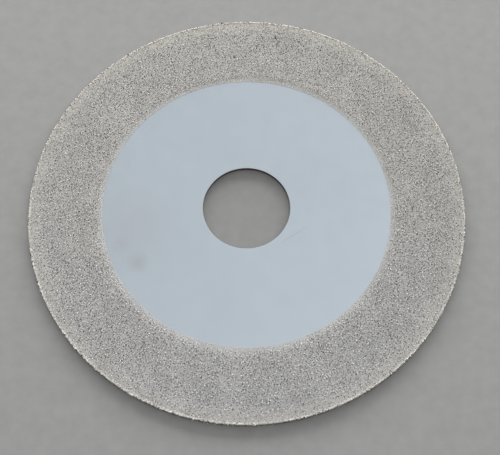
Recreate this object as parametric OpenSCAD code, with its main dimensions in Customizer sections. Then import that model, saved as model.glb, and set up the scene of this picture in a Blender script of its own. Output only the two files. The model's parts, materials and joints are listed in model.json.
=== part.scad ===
// Electroplated diamond grinding wheel: a thin steel disc with a band of coarse
// diamond grains, held by plated nickel, round both of its faces and its rim.
// +Z runs along the wheel's axis, and the origin is the centre of the arbor hole,
// halfway through the steel.

/* [Steel core] */
// Diameter of the whole wheel, across the tips of the grains on its rim
wheel_d = 100; // [80:1:180]
// Thickness of the bare steel
core_t = 1.0; // [0.8:0.1:3]
// Radius that rounds the two outer corners of the steel
core_round = 0.2; // [0.05:0.05:0.35]

/* [Arbor hole] */
// Diameter of the hole that the arbor passes through
arbor_d = 20; // [10:0.5:26]
// Size of the chamfer that breaks each edge of the hole
hole_chamfer = 0.12; // [0.05:0.01:0.3]

/* [Coated band] */
// Width of the coated band on each face, in from the rim
band_w = 17; // [10:0.5:22]
// Width of the zone along the rim where the nickel has built up
rim_zone_w = 3; // [1:0.25:4]
// Run over which the nickel swells up to that zone
swell_w = 1.5; // [0.5:0.25:2.5]
// Width of the raised lip of nickel along the band's inner edge
lip_w = 1.2; // [0.5:0.1:2]

/* [Nickel and grains] */
// Height of the grains' tips above the steel, which is the size of the grains
grain_h = 0.3; // [0.25:0.01:0.6]
// Depth of the nickel over the middle of the band
bond_t = 0.14; // [0.05:0.01:0.15]
// How much deeper the nickel is round the rim
rim_build_up = 0.04; // [0.04:0.005:0.05]
// How much deeper the nickel is at the lip along the band's inner edge
lip_build_up = 0.03; // [0.01:0.005:0.04]

/* [Hidden] */
$fn = 180;
corner_fn = 12;                    // flats in a whole turn of the small outer corners

face_z = core_t / 2;               // the steel's front face
core_r = wheel_d / 2 - grain_h;    // the steel's outer edge
corner_r = core_r - core_round;    // centre of the rounded outer corner, outwards
corner_z = face_z - core_round;    // and along the axis
hole_r = arbor_d / 2;
band_in_r = wheel_d / 2 - band_w;  // where the coating starts
rim_zone_r = corner_r - rim_zone_w;
rim_bond_t = bond_t + rim_build_up;
lip_bond_t = bond_t + lip_build_up;
past = 1;                          // how far a cutter passes the face that it cuts

// Half of a disc's cross-section, from the axis out, with its outer corners rounded.
// grow moves its faces and its rim out from those of the steel.
module disc_section(grow) {
    half_t = face_z + grow;
    translate([0, -half_t]) square([corner_r, 2 * half_t]);
    translate([0, -corner_z]) square([core_r + grow, 2 * corner_z]);
    for (side = [-1, 1]) {
        translate([corner_r, side * corner_z]) circle(r = core_round + grow, $fn = corner_fn);
    }
}

// Everything nearer the axis than a radius, taller than the wheel is thick
module inside_section(radius) {
    half_t = face_z + grain_h;
    translate([0, -half_t]) square([radius, 2 * half_t]);
}

// What is cut from the front of the nickel, which is as deep as the rim's all over
// until then: it leaves a lip at the inner edge, a flat middle and a swell to the rim.
module nickel_cut_section() {
    polygon([
        [band_in_r - past, face_z + lip_bond_t],
        [band_in_r + lip_w / 2, face_z + lip_bond_t],
        [band_in_r + lip_w, face_z + bond_t],
        [rim_zone_r - swell_w, face_z + bond_t],
        [rim_zone_r, face_z + rim_bond_t],
        [rim_zone_r, face_z + rim_bond_t + past],
        [band_in_r - past, face_z + rim_bond_t + past],
    ]);
}

// The outside of the nickel, with the steel still in it
module nickel_section() {
    difference() {
        disc_section(rim_bond_t);
        inside_section(band_in_r);
        nickel_cut_section();
        mirror([0, 1]) nickel_cut_section();
    }
}

// The grains on the front face, between the nickel and the level of their tips
module face_grit_section() {
    difference() {
        translate([band_in_r, face_z]) square([corner_r - band_in_r, grain_h]);
        nickel_section();
    }
}

// The grains round the rim and both of its corners
module rim_grit_section() {
    difference() {
        disc_section(grain_h);
        disc_section(rim_bond_t);
        inside_section(corner_r);
    }
}

// Section of the arbor hole, with a chamfer at each face
module hole_section() {
    reach = hole_chamfer + past;
    translate([0, -face_z - past]) square([hole_r, core_t + 2 * past]);
    for (side = [-1, 1]) {
        polygon([
            [0, side * (face_z - hole_chamfer)],
            [hole_r, side * (face_z - hole_chamfer)],
            [hole_r + reach, side * (face_z + past)],
            [0, side * (face_z + past)],
        ]);
    }
}

module steel_core() {
    color("lightsteelblue") rotate_extrude() difference() {
        disc_section(0);
        hole_section();
    }
}

module nickel_bond() {
    color("darkgray") rotate_extrude() difference() {
        nickel_section();
        disc_section(0);
    }
}

module front_grit() {
    color("dimgray") rotate_extrude() face_grit_section();
}

module rim_grit() {
    color("gray") rotate_extrude() rim_grit_section();
}

module back_grit() {
    color("dimgray") rotate_extrude() mirror([0, 1]) face_grit_section();
}

steel_core();
nickel_bond();
front_grit();
rim_grit();
back_grit();
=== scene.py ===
# Diamond grinding wheel: a plain steel blank with a plated band of coarse diamond grains.
import json
import math
import bmesh
import bpy
import numpy as np
from mathutils import Matrix, Vector, noise
from mathutils.kdtree import KDTree


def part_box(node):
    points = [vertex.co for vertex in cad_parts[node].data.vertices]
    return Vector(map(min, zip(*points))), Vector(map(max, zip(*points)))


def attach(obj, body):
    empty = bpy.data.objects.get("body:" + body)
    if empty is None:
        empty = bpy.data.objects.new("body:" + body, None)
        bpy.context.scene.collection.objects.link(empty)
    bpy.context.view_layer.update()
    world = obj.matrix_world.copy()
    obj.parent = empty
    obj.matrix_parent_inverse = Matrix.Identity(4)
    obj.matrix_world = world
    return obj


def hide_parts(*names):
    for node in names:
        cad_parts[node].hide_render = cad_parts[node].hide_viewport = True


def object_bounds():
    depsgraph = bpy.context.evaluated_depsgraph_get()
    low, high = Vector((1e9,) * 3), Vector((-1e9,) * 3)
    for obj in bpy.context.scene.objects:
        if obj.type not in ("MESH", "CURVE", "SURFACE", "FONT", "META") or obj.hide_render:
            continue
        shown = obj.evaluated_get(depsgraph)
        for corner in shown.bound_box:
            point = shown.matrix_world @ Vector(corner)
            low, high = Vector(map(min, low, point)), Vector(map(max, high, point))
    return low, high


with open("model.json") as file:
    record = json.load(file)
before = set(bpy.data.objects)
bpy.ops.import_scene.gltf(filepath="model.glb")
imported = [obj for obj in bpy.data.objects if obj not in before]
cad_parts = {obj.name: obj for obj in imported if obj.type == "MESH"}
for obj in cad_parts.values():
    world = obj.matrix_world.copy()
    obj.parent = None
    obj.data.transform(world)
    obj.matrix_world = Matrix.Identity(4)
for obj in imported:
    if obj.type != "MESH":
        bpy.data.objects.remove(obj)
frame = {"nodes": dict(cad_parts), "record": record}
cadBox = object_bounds()
mm = 0.001        # lengths are in metres, as in Blender


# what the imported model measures

def nodeRadii(name):
    # smallest and largest distance of a node's vertices from the wheel's axis
    found = [math.hypot(v.co.x, v.co.y) for v in frame["nodes"][name].data.vertices]
    return min(found), max(found)


def mountOf(name):
    return next(m for m in frame["record"]["mounts"] if m["name"] == name)


arborBore = mountOf("arbor_bore")["dims"]
wheel = {
    "boreR": arborBore["r_mm"] * mm,
    "boreWall": arborBore["length_mm"] * mm,     # straight part, between its chamfers
    "bandInR": nodeRadii("front_grit")[0],
    "cornerR": nodeRadii("front_grit")[1],       # where the rounded outer corner starts
    "steelR": nodeRadii("steel_core")[1],
    "rimR": nodeRadii("rim_grit")[1],
    "steelZ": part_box("steel_core")[1].z,
    "tipZ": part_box("rim_grit")[1].z,
    "floorZ": cadBox[0][2],
}
wheel["steelRound"] = wheel["steelR"] - wheel["cornerR"]
wheel["grainHeight"] = wheel["tipZ"] - wheel["steelZ"]
# the steel's coated outline, seen in section: on a face, round a corner, and all the way round
wheel["skinFlat"] = wheel["cornerR"] - wheel["bandInR"]
wheel["skinBend"] = math.pi / 2 * wheel["steelRound"]
halfSkin = wheel["skinFlat"] + wheel["skinBend"] + wheel["steelZ"] - wheel["steelRound"]
wheel["skinLength"] = 2 * halfSkin
print("frame read: rim radius", round(wheel["rimR"] / mm, 2), "mm")


# camera, looking down on the front face from the near side

cameraLook = {
    "target": (0.76 * mm, -4.72 * mm, 0.0),
    "tilt": 22.03,             # degrees between the view and the wheel's axis
    "distance": 232.2 * mm,    # from the target
    "roll": -0.52,             # degrees
    "lens": 73.4,              # mm, on a sensor 36 mm wide
}


def addCamera(look):
    tilt = math.radians(look["tilt"])
    roll = math.radians(look["roll"])
    back = Vector((0, -math.sin(tilt), math.cos(tilt)))
    right = Vector((1, 0, 0))
    up = back.cross(right)
    across = math.cos(roll) * right + math.sin(roll) * up
    upright = back.cross(across)
    data = bpy.data.cameras.new("camera")
    data.lens = look["lens"]
    data.sensor_width = 36
    data.clip_start = 5 * mm
    camera = bpy.data.objects.new("camera", data)
    turn = Matrix((across, upright, back)).transposed().to_4x4()
    spot = Vector(look["target"]) + back * look["distance"]
    camera.matrix_world = Matrix.Translation(spot) @ turn
    bpy.context.scene.collection.objects.link(camera)
    bpy.context.scene.camera = camera


addCamera(cameraLook)
print("camera placed")


# node helpers shared by the materials

def newMaterial(name):
    material = bpy.data.materials.new(name)
    material.use_nodes = True
    tree = material.node_tree
    return material, tree, tree.nodes["Principled BSDF"]


def addNode(tree, kind, **settings):
    node = tree.nodes.new(kind)
    for key, value in settings.items():
        setattr(node, key, value)
    return node


def objectCoords(tree):
    return addNode(tree, "ShaderNodeTexCoord").outputs["Object"]


def placeAlong(tree, coords, axis):
    node = addNode(tree, "ShaderNodeSeparateXYZ")
    tree.links.new(coords, node.inputs["Vector"])
    return node.outputs[axis]


def radiusOf(tree, coords):
    flat = addNode(tree, "ShaderNodeVectorMath", operation="MULTIPLY")
    flat.inputs[1].default_value = (1, 1, 0)
    tree.links.new(coords, flat.inputs[0])
    reach = addNode(tree, "ShaderNodeVectorMath", operation="LENGTH")
    tree.links.new(flat.outputs["Vector"], reach.inputs[0])
    return reach.outputs["Value"]


def noiseOf(tree, coords, size, detail):
    # size is the width of one patch of the noise, in metres
    node = addNode(tree, "ShaderNodeTexNoise")
    node.inputs["Scale"].default_value = 1 / size
    node.inputs["Detail"].default_value = detail
    tree.links.new(coords, node.inputs["Vector"])
    return node.outputs["Fac"]


def rangeOf(tree, value, low, high, toLow, toHigh):
    node = addNode(tree, "ShaderNodeMapRange")
    for socket, number in zip(node.inputs[1:5], (low, high, toLow, toHigh)):
        socket.default_value = number
    tree.links.new(value, node.inputs["Value"])
    return node.outputs["Result"]


def patchesOf(tree, coords, size, low, high, detail=3):
    # soft patches of one size, most of them between low and high
    return rangeOf(tree, noiseOf(tree, coords, size, detail), 0.3, 0.7, low, high)


def mathOf(tree, operation, first, second):
    node = addNode(tree, "ShaderNodeMath", operation=operation)
    for socket, value in zip(node.inputs, (first, second)):
        if isinstance(value, (int, float)):
            socket.default_value = value
        else:
            tree.links.new(value, socket)
    return node.outputs["Value"]


def scaled(tree, colour, factor):
    node = addNode(tree, "ShaderNodeVectorMath", operation="SCALE")
    tree.links.new(colour, node.inputs[0])
    tree.links.new(factor, node.inputs["Scale"])
    return node.outputs["Vector"]


def tinted(tree, colour, tint):
    node = addNode(tree, "ShaderNodeVectorMath", operation="MULTIPLY")
    tree.links.new(colour, node.inputs[0])
    tree.links.new(tint, node.inputs[1])
    return node.outputs["Vector"]


def reachAlong(tree, coords, way):
    # how far a point lies along a direction
    node = addNode(tree, "ShaderNodeVectorMath", operation="DOT_PRODUCT")
    tree.links.new(coords, node.inputs[0])
    node.inputs[1].default_value = way
    return node.outputs["Value"]


def paintedGradient(tree, coords, colour, paintedLean):
    # painted light and shade: a colour that grows slowly lighter along a direction
    return scaled(tree, colour, mathOf(tree, "ADD", reachAlong(tree, coords, paintedLean), 1))


def mixColours(tree, factor, first, second):
    node = addNode(tree, "ShaderNodeMix", data_type="RGBA")
    for name, value in zip(("Factor_Float", "A_Color", "B_Color"), (factor, first, second)):
        socket = next(s for s in node.inputs if s.identifier == name)
        if isinstance(value, tuple):
            socket.default_value = (*value, 1)
        else:
            tree.links.new(value, socket)
    return next(s for s in node.outputs if s.identifier == "Result_Color")


def rampOf(tree, value, stops):
    node = addNode(tree, "ShaderNodeValToRGB")
    ramp = node.color_ramp
    while len(ramp.elements) < len(stops):
        ramp.elements.new(0.5)
    for element, (place, colour) in zip(ramp.elements, stops):
        element.position = place
        element.color = (*colour, 1)
    tree.links.new(value, node.inputs["Fac"])
    return node.outputs["Color"]


def addBump(tree, shader, height, depth, strength=1.0):
    node = addNode(tree, "ShaderNodeBump")
    node.inputs["Strength"].default_value = strength
    node.inputs["Distance"].default_value = depth
    tree.links.new(height, node.inputs["Height"])
    tree.links.new(node.outputs["Normal"], shader.inputs["Normal"])


# mesh helpers

def newPiece(name, places, faces, smooth=True):
    mesh = bpy.data.meshes.new(name)
    mesh.from_pydata(places, [], faces)
    if smooth:
        mesh.shade_smooth()
    else:
        mesh.shade_flat()
    piece = bpy.data.objects.new(name, mesh)
    bpy.context.scene.collection.objects.link(piece)
    return piece


def ringGrid(profile, steps):
    # turns a closed (radius, height) outline round the axis into points and quads
    angles = np.arange(steps) * 2 * math.pi / steps
    outline = np.array(profile)
    radii = outline[:, 0][None, :]
    places = np.stack([
        radii * np.cos(angles)[:, None],
        radii * np.sin(angles)[:, None],
        np.broadcast_to(outline[:, 1][None, :], (steps, len(outline))),
    ], axis=2)
    turn, step = np.meshgrid(np.arange(steps), np.arange(len(outline)), indexing="ij")
    nextTurn = (turn + 1) % steps
    nextStep = (step + 1) % len(outline)
    count = len(outline)
    faces = np.stack([
        turn * count + step,
        turn * count + nextStep,
        nextTurn * count + nextStep,
        nextTurn * count + step,
    ], axis=2).reshape(-1, 4)
    return places, faces


def easeIn(value, low, high):
    # 0 up to low, 1 from high on, and a smooth rise between them
    t = np.clip((value - low) / (high - low), 0, 1)
    return t * t * (3 - 2 * t)


def spreadOf(tone, low, high):
    # a darker and a lighter form of one colour
    return tuple(c * low for c in tone), tuple(c * high for c in tone)


# the steel blank

steelLook = {
    "steps": 384,                       # flats round the wheel
    "edgeSteps": 4,                     # flats across the rounded edge of the arbor hole
    "edgeSpread": 0.05 * mm,            # how far out that edge reaches on the face
    "edgeLoop": 0.03 * mm,              # keeps the face flat right up to it
    "faceRings": 14,                    # rings of points across the face
    "firstRing": 1.5 * mm,              # out from the hole
    "cornerSteps": 3,                   # flats across the rounding of the rim
    "sharpAngle": 35,                   # degrees, from which an edge is drawn sharp
    "tone": (0.500, 0.562, 0.614),      # satin plate, a pale grey whose cool blue tint is a painted reflection of a bluish sky
    "toneSpread": 0.018,
    "cloudSize": 22 * mm,               # of the patches that differ by that much
    "paintedLightDrift": (1.0, -1.3, 0),            # painted light: share lighter, for each metre toward the near right
    "metal": 0.35,
    "roughness": 0.42,
    "glossSpread": 0.03,                # more or less rough than that
    "glossSize": 3 * mm,                # in patches of this size
    "satinGrain": 0.12 * mm,            # the fine texture of the plate
    "satinDepth": 0.002 * mm,
    "wallToneAndShade": (0.08, 0.077, 0.073),   # the punched wall of the hole: partly the steel's own dark tone, partly painted shade deepening the hole's shadow
    "wallSpread": (0.7, 1.4),           # of that tone, in the punch's marks
    "wallMetal": 0.6,
    "wallGloss": (0.35, 0.6),           # roughness, least and most
    "markSize": 0.25 * mm,
    "markDepth": 0.01 * mm,
    "edgeHighlightTone": (0.74, 0.66, 0.56),     # painted highlight on the hole's rounded edge, a bright cream
    "highlightSide": (-0.35, 0.9, 0),        # toward the side of the hole where the painted highlight is strongest
    "highlightPatchSize": 1.5 * mm,               # of the patches that break it up
    "edgeGloss": (0.45, 0.32),          # roughness, off and on the painted highlight
    "plainEdgeShare": 0.75,                # of the full tone, on the rest of the edge
    "smudges": (                        # across, along, reach, strength and tone of each
        (-27.0 * mm, -4.0 * mm, 11 * mm, 0.36, (0.43, 0.405, 0.43)),
        (-24.4 * mm, -13.0 * mm, 3.0 * mm, 0.45, (0.34, 0.35, 0.33)),
        (-28.4 * mm, -8.8 * mm, 2.4 * mm, 0.22, (0.33, 0.34, 0.34)),
    ),
    "smudgeSize": 6 * mm,               # of the patches that break them up
    "scratchFrom": (6.5 * mm, -9.4 * mm),
    "scratchTo": (15.0 * mm, -4.2 * mm),
    "scratchWidth": 0.22 * mm,          # of each half
    "scratchShare": 0.22,               # how strongly it shows
    "scratchTone": (0.30, 0.33, 0.35),
}


def steelOutline(look):
    # from the front of the hole's wall, out over the front face, and back under
    edge = wheel["steelZ"] - wheel["boreWall"] / 2
    front = []
    for k in range(look["edgeSteps"] + 1):
        turn = math.pi / 2 * k / look["edgeSteps"]
        front.append((
            wheel["boreR"] + look["edgeSpread"] * (1 - math.cos(turn)),
            wheel["steelZ"] - edge * (1 - math.sin(turn)),
        ))
    front.append((wheel["boreR"] + look["edgeSpread"] + look["edgeLoop"], wheel["steelZ"]))
    firstRing = wheel["boreR"] + look["firstRing"]
    rings = np.linspace(firstRing, wheel["cornerR"], look["faceRings"])
    front += [(r, wheel["steelZ"]) for r in rings]
    for k in range(1, look["cornerSteps"] + 1):
        turn = math.pi / 2 * k / look["cornerSteps"]
        front.append((
            wheel["cornerR"] + wheel["steelRound"] * math.sin(turn),
            wheel["steelZ"] - wheel["steelRound"] * (1 - math.cos(turn)),
        ))
    return front + [(r, -z) for r, z in reversed(front)]


def satinPlate(look):
    material, tree, shader = newMaterial("satinPlate")
    coords = objectCoords(tree)
    # the plate's grey, with a painted sky reflection in its blue tint
    low, high = spreadOf(look["tone"], 1 - look["toneSpread"], 1 + look["toneSpread"])
    cloud = patchesOf(tree, coords, look["cloudSize"], 0, 1)
    # painted light: the plate grows lighter toward the near right
    tone = paintedGradient(tree, coords, mixColours(tree, cloud, low, high), look["paintedLightDrift"])

    # faint stains left by fingertips
    for x, y, size, strength, stainTone in look["smudges"]:
        gap = addNode(tree, "ShaderNodeVectorMath", operation="DISTANCE")
        tree.links.new(coords, gap.inputs[0])
        gap.inputs[1].default_value = (x, y, wheel["steelZ"])
        fade = rangeOf(tree, gap.outputs["Value"], 0, size, strength, 0)
        blot = patchesOf(tree, coords, look["smudgeSize"], 0.4, 1)
        tone = mixColours(tree, mathOf(tree, "MULTIPLY", fade, blot), tone, stainTone)

    # one light scratch beside the hole, a thin streak that fades at its ends
    start = Vector(look["scratchFrom"])
    end = Vector(look["scratchTo"])
    middle = (start + end) / 2
    along = end - start
    place = addNode(tree, "ShaderNodeMapping", vector_type="TEXTURE")
    place.inputs["Location"].default_value = (*middle, 0)
    place.inputs["Rotation"].default_value = (0, 0, math.atan2(along.y, along.x))
    place.inputs["Scale"].default_value = (along.length / 2, look["scratchWidth"], 1)
    tree.links.new(coords, place.inputs["Vector"])
    reach = radiusOf(tree, place.outputs["Vector"])
    scratch = rangeOf(tree, reach, 0.4, 1, look["scratchShare"], 0)
    tone = mixColours(tree, scratch, tone, look["scratchTone"])
    tree.links.new(tone, shader.inputs["Base Color"])

    shader.inputs["Metallic"].default_value = look["metal"]
    spread = look["glossSpread"]
    gloss = patchesOf(tree, coords, look["glossSize"], -spread, spread, detail=4)
    tree.links.new(mathOf(tree, "ADD", gloss, look["roughness"]), shader.inputs["Roughness"])
    addBump(tree, shader, noiseOf(tree, coords, look["satinGrain"], 3), look["satinDepth"], 0.6)
    return material


def punchedWall(look):
    material, tree, shader = newMaterial("punchedWall")
    coords = objectCoords(tree)
    drawn = addNode(tree, "ShaderNodeMapping")
    drawn.inputs["Scale"].default_value = (1, 1, 0.15)    # marks run with the punch
    tree.links.new(coords, drawn.inputs["Vector"])
    marks = noiseOf(tree, drawn.outputs["Vector"], look["markSize"], 4)
    # the wall's own tone, darkened with painted shade
    low, high = spreadOf(look["wallToneAndShade"], *look["wallSpread"])
    tree.links.new(mixColours(tree, marks, low, high), shader.inputs["Base Color"])
    shader.inputs["Metallic"].default_value = look["wallMetal"]
    gloss = rangeOf(tree, marks, 0.3, 0.7, *look["wallGloss"])
    tree.links.new(gloss, shader.inputs["Roughness"])
    addBump(tree, shader, marks, look["markDepth"])
    return material


# the rounded edge of the hole, with a painted highlight strongest on its far left side
def edgeHighlight(look):
    material, tree, shader = newMaterial("edgeHighlight")
    coords = objectCoords(tree)
    side = reachAlong(tree, coords, look["highlightSide"])
    share = rangeOf(tree, side, -0.5 * wheel["boreR"], 0.5 * wheel["boreR"], -0.2, 0.7)
    blot = rangeOf(tree, noiseOf(tree, coords, look["highlightPatchSize"], 3), 0.35, 0.65, 0, 0.4)
    edgeLit = rangeOf(tree, mathOf(tree, "ADD", share, blot), 0, 1, 0, 1)
    dimmed = tuple(c * look["plainEdgeShare"] for c in look["tone"])
    tree.links.new(mixColours(tree, edgeLit, dimmed, look["edgeHighlightTone"]), shader.inputs["Base Color"])
    shader.inputs["Metallic"].default_value = look["metal"]
    tree.links.new(rangeOf(tree, edgeLit, 0, 1, *look["edgeGloss"]), shader.inputs["Roughness"])
    return material


def addSteelBlank(look):
    places, faces = ringGrid(steelOutline(look), look["steps"])
    piece = newPiece("steelBlank", places.reshape(-1, 3).tolist(), faces.tolist())
    piece.data.materials.append(satinPlate(look))
    piece.data.materials.append(punchedWall(look))
    piece.data.materials.append(edgeHighlight(look))
    for face in piece.data.polygons:
        middle = face.center
        if math.hypot(middle.x, middle.y) < wheel["boreR"] + look["edgeSpread"]:
            onWall = abs(middle.z) < wheel["boreWall"] / 2
            face.material_index = 1 if onWall else 2
    piece.data.set_sharp_from_angle(angle=math.radians(look["sharpAngle"]))
    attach(piece, "root")
    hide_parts("steel_core")


addSteelBlank(steelLook)
print("steel blank made")


# the nickel that holds the grains

nickelLook = {
    "steps": 800,                       # flats round the wheel
    "spacing": 0.40 * mm,               # of its points, across each face
    "cornerPoints": 6,                  # round each corner of the rim
    "seatPoints": 12,                   # of its underside, on the steel
    "sharpAngle": 50,                   # degrees, from which an edge is drawn sharp
    "depth": 0.14 * mm,                 # over the middle of the band
    "rimBuildUp": 0.025 * mm,           # plating grows thicker towards an edge
    "rimZone": 4.0 * mm,                # how far in that starts
    "rimFull": 0.8 * mm,                # from the corner, where it has its full build-up
    "cornerBuildUp": 0.12 * mm,
    "feather": 2.0 * mm,                # width of the thin inner edge beside the mask
    "featherDepth": 0.035 * mm,
    "lumps": 0.035 * mm,                # height of its nodules
    "lumpSize": 0.5 * mm,
    "edgeInset": 0.02 * mm,             # the mask's edge, beyond the start of the band
    "edgeWander": 0.05 * mm,            # how far the masked inner edge strays
    "edgeWaves": (60, 190),             # how close its long and its short waves are
    "tone": (0.44, 0.432, 0.416),
    "innerTone": (0.50, 0.495, 0.48),   # of its thin inner edge
    "innerFade": (0.4 * mm, 1.6 * mm),  # from the start of the band, where that tone ends
    "rimTone": (0.47, 0.455, 0.425),    # of its thicker zone along the rim
    "crestHighlightTone": (0.66, 0.635, 0.58),   # painted highlight along the very edge
    "sideTone": (0.09, 0.075, 0.055),   # painted shade on the rim's wall, between its grains
    "sideShade": 0.85,                   # how strongly that painted shade covers the wall
    "cloudSize": 7 * mm,                # of its darker and lighter patches
    "cloudSpread": (0.92, 1.08),        # of full tone
    "grainySize": 0.3 * mm,             # the same, between the grains
    "grainySpread": (0.8, 1.2),
    "metal": 0.5,
    "roughness": 0.58,
    "glossSpread": 0.08,                # more or less rough than that
    "glossSize": 0.6 * mm,
    "bumpSize": 0.09 * mm,
    "bumpDepth": 0.02 * mm,
}


def skinAt(along):
    # a point on the steel under the coating, and the way it faces, at a distance along
    # the section: out over the front, round the rim, and in over the back
    flat = wheel["skinFlat"]
    bend = wheel["skinBend"]
    side = 2 * (wheel["steelZ"] - wheel["steelRound"])
    half = flat + bend + side / 2
    mirrored = along > half
    here = 2 * half - along if mirrored else along
    if here < flat:
        spot = (wheel["bandInR"] + here, wheel["steelZ"], 0.0, 1.0)
    elif here < flat + bend:
        turn = (here - flat) / wheel["steelRound"]
        spot = (
            wheel["cornerR"] + wheel["steelRound"] * math.sin(turn),
            wheel["steelZ"] - wheel["steelRound"] * (1 - math.cos(turn)),
            math.sin(turn),
            math.cos(turn),
        )
    else:
        spot = (wheel["steelR"], side / 2 - (here - flat - bend), 1.0, 0.0)
    if mirrored:
        spot = (spot[0], -spot[1], spot[2], -spot[3])
    return spot


def nickelDepth(look, radius, outward, upward):
    rim = easeIn(radius, wheel["cornerR"] - look["rimZone"], wheel["cornerR"] - look["rimFull"])
    inner = easeIn(radius, wheel["bandInR"], wheel["bandInR"] + look["feather"])
    corner = 4 * (outward * upward) ** 2
    full = look["depth"] + rim * look["rimBuildUp"] * upward**2 + corner * look["cornerBuildUp"]
    return look["featherDepth"] + inner * (full - look["featherDepth"])


def nickelOutline(look):
    # outer skin, then the seat on the steel, as (radius, height, radial, axial, depth)
    total = wheel["skinLength"]
    flat = wheel["skinFlat"]
    bend = wheel["skinBend"]
    half = list(np.arange(0, flat - look["spacing"] / 2, look["spacing"]))
    half += list(np.linspace(flat, flat + bend, look["cornerPoints"]))
    half += [(flat + bend + total / 2) / 2]
    skin = []
    for along in half + [total / 2] + [total - a for a in reversed(half)]:
        radius, height, outward, upward = skinAt(along)
        depth = nickelDepth(look, radius, outward, upward)
        skin.append((radius, height, outward, upward, depth))
    front = [(*skin[0][:2], 0.0, 1.0, 0.0)]
    back = [(*skin[-1][:2], 0.0, -1.0, 0.0)]
    steps = look["seatPoints"] + 1
    seat = [(*skinAt(total * (1 - k / steps)), 0.0) for k in range(1, steps)]
    outer = front + skin + back
    return outer + seat, len(outer)


# what the nickel and its grains share
bandLook = {
    "nearTint": (0.99, 1.0, 1.02),      # the plated band is a trace cooler on the near side
    "farTint": (1.008, 1.0, 0.972),     # and warmer on the far side
    "paintedLean": (-0.9, -0.3, 0),            # painted shade: share lighter, for each metre toward the left
    "crestWidth": 0.3 * mm,             # how far the painted highlight on the edge reaches in over a face
    "crestFar": 0.35,                   # share of the near side's painted highlight that the far side has
}


def tintAndPaintedShade(tree, coords):
    # the slow change of tone over the whole band, as a tint, with painted shade darkening it
    # toward the far right
    far = rangeOf(tree, placeAlong(tree, coords, "Y"), -wheel["rimR"], wheel["rimR"], 0, 1)
    tint = mixColours(tree, far, bandLook["nearTint"], bandLook["farTint"])
    return paintedGradient(tree, coords, tint, bandLook["paintedLean"])


def crestHighlightOf(tree, coords):
    # a painted highlight: 1 along the very edge on the near side, and less on the far side
    start = wheel["cornerR"] - bandLook["crestWidth"]
    edge = rangeOf(tree, radiusOf(tree, coords), start, wheel["steelR"], 0, 1)
    near = -0.3 * wheel["rimR"]
    far = 0.5 * wheel["rimR"]
    crestLit = rangeOf(tree, placeAlong(tree, coords, "Y"), near, far, 1, bandLook["crestFar"])
    return mathOf(tree, "MULTIPLY", edge, crestLit)


def wallOf(tree, coords):
    # 1 on the upright wall of the rim, between its two crests, and 0 elsewhere: where painted
    # shade goes
    radius = radiusOf(tree, coords)
    out = rangeOf(tree, radius, wheel["steelR"], wheel["steelR"] + 0.1 * mm, 0, 1)
    height = mathOf(tree, "ABSOLUTE", placeAlong(tree, coords, "Z"), 0)
    level = rangeOf(tree, height, 0.8 * wheel["steelZ"], 1.2 * wheel["steelZ"], 1, 0)
    return mathOf(tree, "MULTIPLY", out, level)


def mattNickel(look):
    material, tree, shader = newMaterial("mattNickel")
    coords = objectCoords(tree)
    radius = radiusOf(tree, coords)
    rim = rangeOf(tree, radius, wheel["cornerR"] - look["rimZone"], wheel["cornerR"], 0, 1)
    start, end = (wheel["bandInR"] + reach for reach in look["innerFade"])
    inner = rangeOf(tree, radius, start, end, 1, 0)
    tone = mixColours(tree, rim, look["tone"], look["rimTone"])
    # painted highlight along the very edge
    tone = mixColours(tree, crestHighlightOf(tree, coords), tone, look["crestHighlightTone"])
    # painted shade on the rim's wall
    side = mathOf(tree, "MULTIPLY", wallOf(tree, coords), look["sideShade"])
    tone = mixColours(tree, side, tone, look["sideTone"])
    tone = mixColours(tree, inner, tone, look["innerTone"])
    grainy = noiseOf(tree, coords, look["grainySize"], 3)
    grainy = rangeOf(tree, grainy, 0.25, 0.75, *look["grainySpread"])
    cloud = patchesOf(tree, coords, look["cloudSize"], *look["cloudSpread"])
    tone = scaled(tree, tone, mathOf(tree, "MULTIPLY", grainy, cloud))
    drifted = tinted(tree, tone, tintAndPaintedShade(tree, coords))
    tree.links.new(drifted, shader.inputs["Base Color"])
    shader.inputs["Metallic"].default_value = look["metal"]
    spread = look["glossSpread"]
    gloss = patchesOf(tree, coords, look["glossSize"], -spread, spread, detail=2)
    tree.links.new(mathOf(tree, "ADD", gloss, look["roughness"]), shader.inputs["Roughness"])
    addBump(tree, shader, noiseOf(tree, coords, look["bumpSize"], 3), look["bumpDepth"])
    return material


def addNickelBond(look):
    outline, skinCount = nickelOutline(look)
    places, faces = ringGrid([point[:2] for point in outline], look["steps"])
    featherEnd = wheel["bandInR"] + look["feather"]
    nearEdge = [1 - easeIn(point[0], wheel["bandInR"], featherEnd) for point in outline]
    longWave, shortWave = look["edgeWaves"]
    for turn in range(look["steps"]):
        angle = 2 * math.pi * turn / look["steps"]
        outward = Vector((math.cos(angle), math.sin(angle), 0))
        stray = noise.noise(outward * longWave) + 0.6 * noise.noise(outward * shortWave)
        for step in range(skinCount):
            radius, height, radial, axial, depth = outline[step]
            place = outward * radius + Vector((0, 0, height))
            spot = place / look["lumpSize"]
            lump = noise.noise(spot) + 0.5 * noise.noise(spot * 2.3)
            rise = depth * (1 + look["lumps"] / look["depth"] * lump)
            place += (outward * radial + Vector((0, 0, axial))) * rise
            place += outward * nearEdge[step] * (look["edgeInset"] + stray * look["edgeWander"])
            places[turn, step] = place
    piece = newPiece("nickelBond", places.reshape(-1, 3).tolist(), faces.tolist())
    piece.data.materials.append(mattNickel(look))
    piece.data.set_sharp_from_angle(angle=math.radians(look["sharpAngle"]))
    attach(piece, "root")
    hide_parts("nickel_bond")


addNickelBond(nickelLook)
print("nickel bond made")


# the diamond grains

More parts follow.
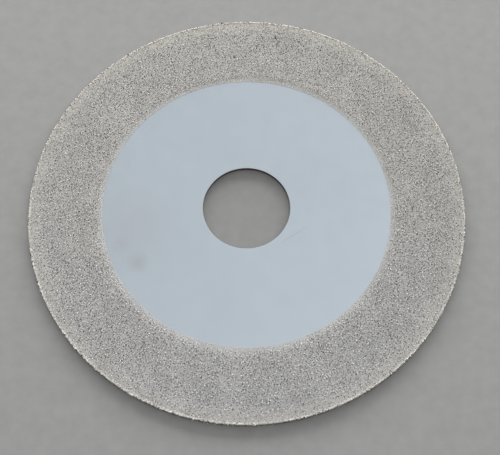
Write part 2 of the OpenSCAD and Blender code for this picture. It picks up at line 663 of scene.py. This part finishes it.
grainLook = {
    "seed": 11,
    "habits": 36,                       # different crystal shapes, which the grains repeat
    "corners": (7, 9),                  # fewest and most corners of a crystal
    "ragged": (0.82, 1.12),             # how far in or out a corner lies
    "squash": (0.85, 1.15),             # of a whole crystal, along each axis
    "size": (0.21 * mm, 0.30 * mm),     # least and most
    "areaEach": 0.098 * mm * mm,        # of the wheel's surface
    "jitter": 0.07 * mm,                # how far a grain is jogged off its place
    "firstRow": 0.20 * mm,              # out from the start of the band
    "lastRow": 0.02 * mm,               # out past the steel's edge
    "farthest": 0.03 * mm,              # out past it, after the jogging
    "fill": 0.98,                       # share of the layer's height that grains may fill
    "cornerDrop": 0.4,                  # of the steel's rounding, the most that they step down
    "contrast": 0.8,                    # how far a grain's tone turns from its neighbours'
    "neighbours": 6,                    # how many of them count
    "missing": 0.04,                    # share of places with no grain
    "innerSize": 0.5,                   # of full size, where the band starts
    "innerGrowth": (0.1 * mm, 1.8 * mm),    # out from there, where they grow to full size
    "cornerGrowth": 0.7,                # of the grains that ride on the corners
    "cornerRoom": 0.46 * mm,            # height over the steel that grains reach on the corners
    "sectors": 8,                       # pieces that each face's grains are split into
    "rimStrip": 1.30 * mm,              # width on the steel that the rim's grains cover
    "rimArea": 0.064 * mm * mm,         # on the steel, for each grain of the rim
    "rimJitter": 0.03 * mm,             # how far they are jogged across that strip
    "rimStray": 0.6,                    # and round the rim, in steps from grain to grain
    "tones": (                          # from the darkest grain to the brightest
        (0.0, (0.008, 0.008, 0.007)),
        (0.32, (0.050, 0.050, 0.047)),
        (0.60, (0.235, 0.234, 0.225)),
        (0.90, (0.950, 0.945, 0.925)),
    ),
    "hues": ((1.12, 0.985, 0.85), (0.91, 1.0, 1.09)),     # straw to faintly blue
    "cloudSize": 6 * mm,                # of patches with darker and lighter grains
    "cloudSpread": 0.06,                # along the row of tones
    "fleckSize": 0.12 * mm,             # of marks within a grain
    "fleckSpread": 0.08,                # along the row of tones
    "innerReach": 4 * mm,               # of the lighter strip where the band starts
    "innerLift": 0.21,                  # along the row of tones
    "rimReach": 3.5 * mm,               # of the lighter strip along the rim
    "rimLift": 0.07,
    "rimTone": (1.0, 0.98, 0.94),       # tint of that strip
    "crestShare": 0.20,                 # how much brighter they are along the edge, a painted highlight
    "rimDimShare": 0.15,                  # painted shade: darker past it, on the rim
    "rimShadeTone": (0.15, 0.105, 0.065),      # painted shade, dark brown, between the grains of the rim
    "rimShadeSize": 1.2 * mm,
    "rimShadeSpread": (0.15, 0.85),         # least and most of it
    "roughness": (0.2, 0.45),           # of the darkest and of the brightest grains
    "glint": 1.5,                       # index of refraction
}
rng = np.random.default_rng(grainLook["seed"])


def crystalHabits(look):
    # rough broken crystals, as hulls of points strewn on a slightly squashed ball
    habits = []
    fewest, most = look["corners"]
    for _ in range(look["habits"]):
        count = int(rng.integers(fewest, most + 1))
        index = np.arange(count) + 0.5
        height = 1 - 2 * index / count
        turn = index * math.pi * (1 + math.sqrt(5)) + rng.uniform(-0.5, 0.5, count)
        ring = np.sqrt(1 - height**2)
        corners = np.stack([ring * np.cos(turn), ring * np.sin(turn), height], 1)
        corners *= rng.uniform(*look["ragged"], (count, 1)) * rng.uniform(*look["squash"], 3) / 2
        form = bmesh.new()
        for corner in corners:
            form.verts.new(corner)
        bmesh.ops.convex_hull(form, input=form.verts)
        loose = [v for v in form.verts if not v.link_faces]
        bmesh.ops.delete(form, geom=loose, context="VERTS")
        bmesh.ops.recalc_face_normals(form, faces=form.faces)
        form.verts.index_update()
        habits.append((
            np.array([v.co for v in form.verts]),
            np.array([[v.index for v in f.verts] for f in form.faces]),
        ))
        form.free()
    return habits


def randomTurns(count):
    # uniform random rotations, from quaternions
    q = rng.normal(size=(count, 4))
    q /= np.linalg.norm(q, axis=1)[:, None]
    w, x, y, z = q.T
    return np.stack([
        np.stack([1 - 2 * (y * y + z * z), 2 * (x * y - z * w), 2 * (x * z + y * w)], 1),
        np.stack([2 * (x * y + z * w), 1 - 2 * (x * x + z * z), 2 * (y * z - x * w)], 1),
        np.stack([2 * (x * z - y * w), 2 * (y * z + x * w), 1 - 2 * (x * x + y * y)], 1),
    ], 1)


def facePlaces(look):
    # a sunflower spiral covers the band evenly, then each place is jogged
    perTurn = look["areaEach"] / math.pi
    first = math.ceil((wheel["bandInR"] + look["firstRow"]) ** 2 / perTurn)
    last = math.floor((wheel["steelR"] + look["lastRow"]) ** 2 / perTurn)
    index = np.arange(first, last)
    index = index[rng.random(len(index)) > look["missing"]]
    radius = np.sqrt(index * perTurn)
    angle = index * math.pi * (3 - math.sqrt(5)) + rng.uniform(0, 6.3)
    spots = np.stack([radius * np.cos(angle), radius * np.sin(angle)], 1)
    spots += rng.normal(scale=look["jitter"], size=spots.shape)
    return spots[np.hypot(*spots.T) < wheel["steelR"] + look["farthest"]]


def grainScale(look, radius):
    # only the finer grains took hold in the thin nickel beside the mask
    start, end = (wheel["bandInR"] + reach for reach in look["innerGrowth"])
    return look["innerSize"] + (1 - look["innerSize"]) * easeIn(radius, start, end)


def grainTones(look, seats):
    # an even spread of tones, in which a grain differs from those beside it
    tone = rng.random(len(seats))
    near = KDTree(len(seats))
    for k, seat in enumerate(seats.tolist()):
        near.insert(seat, k)
    near.balance()
    around = np.array([
        np.mean([tone[found[1]] for found in near.find_n(seat, look["neighbours"] + 1)[1:]])
        for seat in seats.tolist()
    ])
    order = np.argsort(tone - look["contrast"] * around)
    spread = np.empty(len(seats))
    spread[order] = (np.arange(len(seats)) + 0.5) / len(seats)
    return spread


def growGrains(look, habits, seats, facings, scales, room):
    # seats are points on the steel, facings the way the steel faces there
    count = len(seats)
    kind = rng.integers(0, len(habits), count)
    size = rng.uniform(*look["size"], count) * scales
    turns = randomTurns(count)
    tone = grainTones(look, seats)
    parts = []
    for k, (corners, triangles) in enumerate(habits):
        mine = np.flatnonzero(kind == k)
        if not len(mine):
            continue
        bodies = np.einsum("gij,cj->gci", turns[mine], corners) * size[mine][:, None, None]
        along = np.einsum("gci,gi->gc", bodies, facings[mine])
        level = along - along.min(1)[:, None]
        # what lies along the facing is squeezed into the layer, and stands on the steel
        squeeze = np.minimum(1, room[mine] / level.max(1))
        bodies += facings[mine][:, None, :] * (level * squeeze[:, None] - along)[:, :, None]
        bodies += seats[mine][:, None, :]
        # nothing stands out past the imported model's rim or faces
        reach = np.hypot(bodies[..., 0], bodies[..., 1])
        bodies[..., :2] *= np.minimum(1, wheel["rimR"] / reach)[..., None]
        bodies[..., 2] = np.clip(bodies[..., 2], -wheel["tipZ"], wheel["tipZ"])
        parts.append((mine, bodies, triangles, tone[mine], bakeSpots(bodies, mine, facings)))
    return parts


def bakeSpots(bodies, mine, facings):
    # places on the bake map: seen from above on a face, and a small square each on the rim
    if np.all(np.abs(facings[:, 2]) > 0.99):
        return bodies[..., :2]
    across = math.ceil(math.sqrt(len(facings)))
    middle = bodies.mean(1, keepdims=True)
    outward = facings[mine]
    around = np.cross((0, 0, 1), middle[:, 0])
    around /= np.linalg.norm(around, axis=1)[:, None]
    upward = np.cross(outward, around)
    local = bodies - middle
    flat = np.stack([
        np.einsum("gci,gi->gc", local, around),
        np.einsum("gci,gi->gc", local, upward),
    ], 2)
    flat *= 0.4 / np.abs(flat).max((1, 2), keepdims=True)
    cell = np.stack([mine % across, mine // across], 1) + 0.5
    return flat + cell[:, None, :]


def joinGrains(name, parts, keep, material, node):
    places, faces, tones, spots = [], [], [], []
    base = 0
    for mine, bodies, triangles, tone, flat in parts:
        chosen = keep[mine]
        picked = bodies[chosen]
        count, corners = picked.shape[:2]
        if not count:
            continue
        places.append(picked.reshape(-1, 3))
        spots.append(flat[chosen].reshape(-1, 2))
        steps = base + np.arange(count)[:, None, None] * corners
        faces.append((triangles[None] + steps).reshape(-1, 3))
        tones.append(np.repeat(tone[chosen], corners))
        base += count * corners
    faces = np.vstack(faces)
    spots = np.vstack(spots)
    spots = (spots - spots.min(0)) / (spots.max(0) - spots.min(0)).max()
    piece = newPiece(name, np.vstack(places).tolist(), faces.tolist(), smooth=False)
    bakeMap = piece.data.uv_layers.new(name="OFBake")
    bakeMap.data.foreach_set("uv", spots[faces.ravel()].astype(np.float32).ravel())
    mark = piece.data.attributes.new("grainTone", "FLOAT", "POINT")
    mark.data.foreach_set("value", np.concatenate(tones).astype(np.float32))
    piece.data.materials.append(material)
    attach(piece, "root")
    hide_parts(node)
    return len(faces)


def diamondGrain(look):
    material, tree, shader = newMaterial("diamondGrain")
    coords = objectCoords(tree)
    tone = addNode(tree, "ShaderNodeAttribute", attribute_name="grainTone").outputs["Fac"]
    radius = radiusOf(tree, coords)
    edge = rangeOf(tree, radius, wheel["cornerR"] - look["rimReach"], wheel["cornerR"], 0, 1)
    inner = rangeOf(tree, radius, wheel["bandInR"], wheel["bandInR"] + look["innerReach"], 1, 0)
    # painted shade on the grains of the rim
    dimmed = rangeOf(tree, radius, wheel["steelR"], wheel["rimR"], 0, -look["rimDimShare"])
    level = tone
    for step in (
        patchesOf(tree, coords, look["cloudSize"], -look["cloudSpread"], look["cloudSpread"]),
        patchesOf(tree, coords, look["fleckSize"], -look["fleckSpread"], look["fleckSpread"], 2),
        mathOf(tree, "MULTIPLY", edge, look["rimLift"]),
        mathOf(tree, "MULTIPLY", inner, look["innerLift"]),
        # painted highlight along the edge
        mathOf(tree, "MULTIPLY", crestHighlightOf(tree, coords), look["crestShare"]),
        dimmed,
    ):
        level = mathOf(tree, "ADD", level, step)
    colour = rampOf(tree, level, look["tones"])
    chance = addNode(tree, "ShaderNodeTexWhiteNoise", noise_dimensions="1D")
    tree.links.new(tone, chance.inputs["W"])
    hue = mixColours(tree, chance.outputs["Value"], *look["hues"])
    tint = mixColours(tree, edge, (1.0, 1.0, 1.0), look["rimTone"])
    colour = tinted(tree, tinted(tree, colour, hue), tint)
    colour = tinted(tree, colour, tintAndPaintedShade(tree, coords))

    # painted shade, dark brown, on the wall of the rim
    patch = noiseOf(tree, coords, look["rimShadeSize"], 3)
    patch = rangeOf(tree, patch, 0.40, 0.60, *look["rimShadeSpread"])
    share = mathOf(tree, "MULTIPLY", wallOf(tree, coords), patch)
    shaded = mixColours(tree, share, colour, look["rimShadeTone"])
    tree.links.new(shaded, shader.inputs["Base Color"])
    shader.inputs["IOR"].default_value = look["glint"]
    tree.links.new(rangeOf(tree, tone, 0, 1, *look["roughness"]), shader.inputs["Roughness"])
    return material


def addFaceGrains(look, habits, material, side):
    spots = facePlaces(look)
    radius = np.hypot(*spots.T)
    over = np.clip(radius - wheel["cornerR"], 0, wheel["steelRound"])
    drop = wheel["steelRound"] - np.sqrt(wheel["steelRound"] ** 2 - over**2)
    drop = np.minimum(drop, look["cornerDrop"] * wheel["steelRound"])
    seats = np.column_stack([spots, side * (wheel["steelZ"] - drop)])
    facings = np.zeros_like(seats)
    facings[:, 2] = side
    scales = grainScale(look, radius)
    room = look["fill"] * wheel["grainHeight"] * scales + drop
    parts = growGrains(look, habits, seats, facings, scales, room)
    turn = (np.arctan2(spots[:, 1], spots[:, 0]) / (2 * math.pi)) % 1
    sector = np.floor(turn * look["sectors"]).astype(int) % look["sectors"]
    face = "front" if side > 0 else "back"
    total = 0
    for k in range(look["sectors"]):
        name = f"{face}Grains_{k + 1}"
        total += joinGrains(name, parts, sector == k, material, f"{face}_grit")
    print(face, "grains:", len(spots), "with", total, "facets")


def addRimGrains(look, habits, material):
    # an even lattice, wound round the wall of the rim and over its two corners
    count = round(look["rimStrip"] * 2 * math.pi * wheel["steelR"] / look["rimArea"])
    index = np.arange(count)
    golden = (math.sqrt(5) - 1) / 2
    along = wheel["skinLength"] / 2 + ((index * golden) % 1 - 0.5) * look["rimStrip"]
    along += rng.normal(scale=look["rimJitter"], size=count)
    stray = rng.uniform(-look["rimStray"], look["rimStray"], count)
    angle = (index + stray) * 2 * math.pi / count
    skin = np.array([skinAt(a) for a in along])
    outward = np.column_stack([np.cos(angle), np.sin(angle), np.zeros(count)])
    seats = outward * skin[:, :1]
    seats[:, 2] = skin[:, 1]
    facings = outward * skin[:, 2:3]
    facings[:, 2] = skin[:, 3]
    corner = 4 * (skin[:, 2] * skin[:, 3]) ** 2
    low = look["fill"] * wheel["grainHeight"]
    room = low + (look["cornerRoom"] - low) * corner
    scales = 1 + look["cornerGrowth"] * corner
    parts = growGrains(look, habits, seats, facings, scales, room)
    total = joinGrains("rimGrains", parts, np.ones(count, bool), material, "rim_grit")
    print("rim grains:", count, "with", total, "facets")


habits = crystalHabits(grainLook)
diamond = diamondGrain(grainLook)
addFaceGrains(grainLook, habits, diamond, 1)
addFaceGrains(grainLook, habits, diamond, -1)
addRimGrains(grainLook, habits, diamond)


# floor and light

floorLook = {
    "size": 3.0,               # along each side
    "tone": (0.365, 0.363, 0.358),
    "mottle": 0.04,            # share lighter or darker
    "mottleSize": 2.5 * mm,
    "nearPaintedShade": 0.94,          # painted shade: of full tone, a little way out on the near side
    "farPaintedLight": 1.06,           # painted light: and on the far side
    "falloffReach": 50 * mm,     # how far out that is
    "underShade": 0.87,         # painted shade: of the rest, under the middle of the wheel
    "roughness": 0.9,
    "specular": 0.2,
}


def addFloor(look):
    half = look["size"] / 2
    low = wheel["floorZ"]
    corners = [(-half, -half, low), (half, -half, low), (half, half, low), (-half, half, low)]
    floor = newPiece("floor", corners, [(0, 1, 2, 3)])
    material, tree, shader = newMaterial("paleFloor")
    coords = objectCoords(tree)
    soft = patchesOf(tree, coords, look["mottleSize"], 0, 1)
    dim, bright = spreadOf(look["tone"], 1 - look["mottle"], 1 + look["mottle"])
    # painted light: the floor lighter toward the far side, where the window is
    reach = look["falloffReach"]
    place = placeAlong(tree, coords, "Y")
    paintedFalloff = rangeOf(tree, place, -reach, reach, look["nearPaintedShade"], look["farPaintedLight"])
    radius = radiusOf(tree, coords)
    # painted shade on the floor seen through the hole
    under = rangeOf(tree, radius, wheel["boreR"], 2 * wheel["boreR"], look["underShade"], 1)
    share = mathOf(tree, "MULTIPLY", paintedFalloff, under)
    tone = scaled(tree, mixColours(tree, soft, dim, bright), share)
    tree.links.new(tone, shader.inputs["Base Color"])
    shader.inputs["Roughness"].default_value = look["roughness"]
    shader.inputs["Specular IOR Level"].default_value = look["specular"]
    floor.data.materials.append(material)


lightLook = {
    "window": {
        "from": (84, 17),          # degrees round from +X, and up from the floor
        "distance": 2.6,
        "size": (6.1, 1.45),       # a wide low window on the far side
        "power": 150,              # watts
    },
    "ceiling": {
        "from": (290, 70),
        "distance": 0.55,
        "size": (0.44, 0.44),
        "power": 0.52,
    },
    "skyTone": (0.985, 0.99, 1.0),
    "skyStrength": (0.18, 0.72),   # on the near side and on the far side
}


def addSoftLight(name, look):
    around, up = (math.radians(a) for a in look["from"])
    toward = Vector((
        math.cos(around) * math.cos(up),
        math.sin(around) * math.cos(up),
        math.sin(up),
    ))
    data = bpy.data.lights.new(name, "AREA")
    data.shape = "RECTANGLE"
    data.size, data.size_y = look["size"]
    data.energy = look["power"]
    light = bpy.data.objects.new(name, data)
    light.location = toward * look["distance"]
    light.visible_camera = False
    light.rotation_euler = toward.to_track_quat("Z", "Y").to_euler()
    bpy.context.scene.collection.objects.link(light)


def addLights(look):
    addSoftLight("windowLight", look["window"])
    addSoftLight("ceilingLight", look["ceiling"])
    world = bpy.data.worlds.new("softSky")
    world.use_nodes = True
    tree = world.node_tree
    sky = tree.nodes["Background"]
    sky.inputs["Color"].default_value = (*look["skyTone"], 1)
    coords = addNode(tree, "ShaderNodeTexCoord").outputs["Generated"]
    strength = rangeOf(tree, placeAlong(tree, coords, "Y"), -1, 1, *look["skyStrength"])
    tree.links.new(strength, sky.inputs["Strength"])
    bpy.context.scene.world = world
    bpy.context.scene.view_settings.view_transform = "Standard"


addFloor(floorLook)
addLights(lightLook)
print("floor and lights set")
